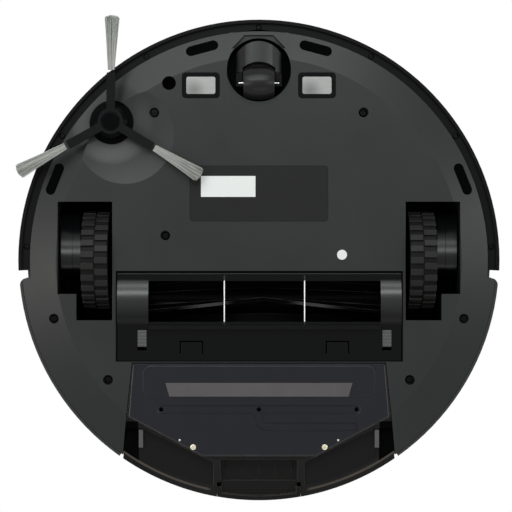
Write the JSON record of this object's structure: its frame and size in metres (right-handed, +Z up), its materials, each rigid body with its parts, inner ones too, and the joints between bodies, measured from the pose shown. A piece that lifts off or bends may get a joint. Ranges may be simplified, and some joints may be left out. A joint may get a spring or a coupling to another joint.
{
  "type": "robot vacuum",
  "caption": "Round robot vacuum with sprung drive wheels, caster, chevron main brush under a latched guard, three-armed side brush, sliding bumper and a pull-out dust bin with water tank.",
  "frame": {"origin": "on the floor under the middle of the round body", "axes": "+Z up from the floor, -Y towards the bumper at the front, +X to the right of the picture taken from below"},
  "size_m": [0.35, 0.3515, 0.097],
  "materials": {
    "base_black": "fine texture",
    "shell_black": "semi gloss",
    "window_black": "polished",
    "contact_steel": "brushed",
    "screw_steel": "blackened",
    "label_black": "matte",
    "sticker_white": "matte",
    "rubber_black": "matte",
    "tyre_black": "matte",
    "hub_black": "satin",
    "steel": "satin",
    "bristle_grey": "satin",
    "tab_grey": "satin",
    "smoke": "polished",
    "strip_grey": "satin",
    "screw_brass": "satin",
    "motor_steel": "satin",
    "battery_case": "shrink film",
    "board_green": "satin",
    "filter_white": "pleated",
    "part_grey": "satin"
  },
  "bodies": {
    "chassis": {"chassis_base": "base_black", "top_cover": "shell_black", "bump_switches": "part_grey", "cliff_windows": "window_black", "contact_bezels": "base_black", "charge_contacts": "contact_steel", "base_screws": "screw_steel", "rating_label": "label_black", "white_stickers": "sticker_white", "pivot_pins": "steel", "suspension_springs": "steel", "brush_chamber": "hub_black", "brush_motor": "motor_steel", "brush_bearing": "part_grey", "side_motor": "motor_steel", "battery_pack": "battery_case", "main_board": "board_green", "fan_housing": "part_grey", "turret_housing": "shell_black"},
    "bumper": {"bumper_shell": "shell_black", "bumper_window": "window_black", "bumper_screws": "screw_steel"},
    "caster": {"caster_fork": "hub_black", "caster_axle": "steel"},
    "caster_wheel": {"caster_wheel": "shell_black"},
    "left_arm": {"left_gearbox": "hub_black", "left_drive_motor": "motor_steel"},
    "left_wheel": {"left_tyre": "tyre_black", "left_hub": "hub_black", "left_axle": "steel"},
    "right_arm": {"right_gearbox": "hub_black", "right_drive_motor": "motor_steel"},
    "right_wheel": {"right_tyre": "tyre_black", "right_hub": "hub_black", "right_axle": "steel"},
    "main_brush": {"brush_core": "part_grey", "brush_rubber": "rubber_black"},
    "brush_pinion": {"brush_pinion": "steel"},
    "brush_guard": {"guard_frame": "hub_black", "guard_wires": "steel", "guard_squeegee": "rubber_black"},
    "left_latch": {"left_guard_latch": "tab_grey"},
    "right_latch": {"right_guard_latch": "tab_grey"},
    "side_brush": {"side_hub": "hub_black", "side_arms_rubber": "rubber_black", "side_bristles": "bristle_grey"},
    "dust_bin": {"bin_body": "smoke", "bin_lid": "smoke", "tank_panel": "smoke", "tank_strip": "strip_grey", "tank_screws": "screw_brass", "bin_tabs": "tab_grey", "bin_filter": "filter_white", "bin_seal": "rubber_black"},
    "bin_button": {"bin_button": "shell_black"},
    "fan_impeller": {"fan_impeller": "part_grey"},
    "power_key": {"power_key": "part_grey"},
    "home_key": {"home_key": "part_grey"},
    "turret_rotor": {"turret_rotor": "window_black"}
  },
  "joints": [
    {"name": "bumper_press", "type": "slide", "parent": "chassis", "child": "bumper", "axis": [0, 1, 0], "range_m": [0, 0.004], "stiffness_N_per_m": 400, "springref_m": -0.003},
    {"name": "caster_swivel", "type": "hinge", "parent": "chassis", "child": "caster", "pos_m": [0, -0.1382, 0.0284], "axis": [0, 0, 1], "continuous": true},
    {"name": "caster_roll", "type": "hinge", "parent": "caster", "child": "caster_wheel", "pos_m": [0, -0.1282, 0.01225], "axis": [1, 0, 0], "continuous": true},
    {"name": "left_suspension", "type": "hinge", "parent": "chassis", "child": "left_arm", "pos_m": [-0.1372, -0.027, 0.03], "axis": [-1, 0, 0], "range_deg": [-3, 14], "stiffness_Nm_per_rad": 1.5, "springref_deg": 10.89},
    {"name": "left_wheel_spin", "type": "hinge", "parent": "left_arm", "child": "left_wheel", "pos_m": [-0.1186, 0, 0.036], "axis": [1, 0, 0], "continuous": true},
    {"name": "right_suspension", "type": "hinge", "parent": "chassis", "child": "right_arm", "pos_m": [0.1372, -0.027, 0.03], "axis": [-1, 0, 0], "range_deg": [-3, 14], "stiffness_Nm_per_rad": 1.5, "springref_deg": 10.89},
    {"name": "right_wheel_spin", "type": "hinge", "parent": "right_arm", "child": "right_wheel", "pos_m": [0.1186, 0, 0.036], "axis": [1, 0, 0], "continuous": true},
    {"name": "brush_spin", "type": "hinge", "parent": "chassis", "child": "main_brush", "pos_m": [0.0025, 0.03, 0.03], "axis": [1, 0, 0], "continuous": true},
    {"name": "pinion_spin", "type": "hinge", "parent": "chassis", "child": "brush_pinion", "pos_m": [-0.094, 0.05761, 0.03467], "axis": [1, 0, 0], "continuous": true},
    {"name": "guard_hinge", "type": "hinge", "parent": "chassis", "child": "brush_guard", "pos_m": [0, 0.0103, 0.013], "axis": [-1, 0, 0], "range_deg": [0, 60]},
    {"name": "left_latch_slide", "type": "slide", "parent": "brush_guard", "child": "left_latch", "axis": [0, 1, 0], "range_m": [0, 0.0025], "stiffness_N_per_m": 200, "springref_m": -0.002},
    {"name": "right_latch_slide", "type": "slide", "parent": "brush_guard", "child": "right_latch", "axis": [0, 1, 0], "range_m": [0, 0.0025], "stiffness_N_per_m": 200, "springref_m": -0.002},
    {"name": "side_brush_spin", "type": "hinge", "parent": "chassis", "child": "side_brush", "pos_m": [-0.10682, -0.09996, 0.01], "axis": [0, 0, 1], "continuous": true},
    {"name": "bin_slide", "type": "slide", "parent": "chassis", "child": "dust_bin", "axis": [0, 1, 0], "range_m": [0, 0.11]},
    {"name": "bin_button_press", "type": "slide", "parent": "dust_bin", "child": "bin_button", "axis": [0, -1, 0], "range_m": [0, 0.003], "stiffness_N_per_m": 400, "springref_m": -0.003},
    {"name": "fan_spin", "type": "hinge", "parent": "chassis", "child": "fan_impeller", "pos_m": [0.06, 0.033, 0.066], "axis": [0, 0, 1], "continuous": true},
    {"name": "power_key_press", "type": "slide", "parent": "chassis", "child": "power_key", "axis": [0, 0, -1], "range_m": [0, 0.0006], "stiffness_N_per_m": 1500, "springref_m": -0.0006},
    {"name": "home_key_press", "type": "slide", "parent": "chassis", "child": "home_key", "axis": [0, 0, -1], "range_m": [0, 0.0006], "stiffness_N_per_m": 1500, "springref_m": -0.0006},
    {"name": "turret_spin", "type": "hinge", "parent": "chassis", "child": "turret_rotor", "pos_m": [0, 0.03, 0.087], "axis": [0, 0, 1], "continuous": true}
  ],
  "couplings": [
    {"joint": "pinion_spin", "follows": "brush_spin", "ratio": -1.8}
  ]
}
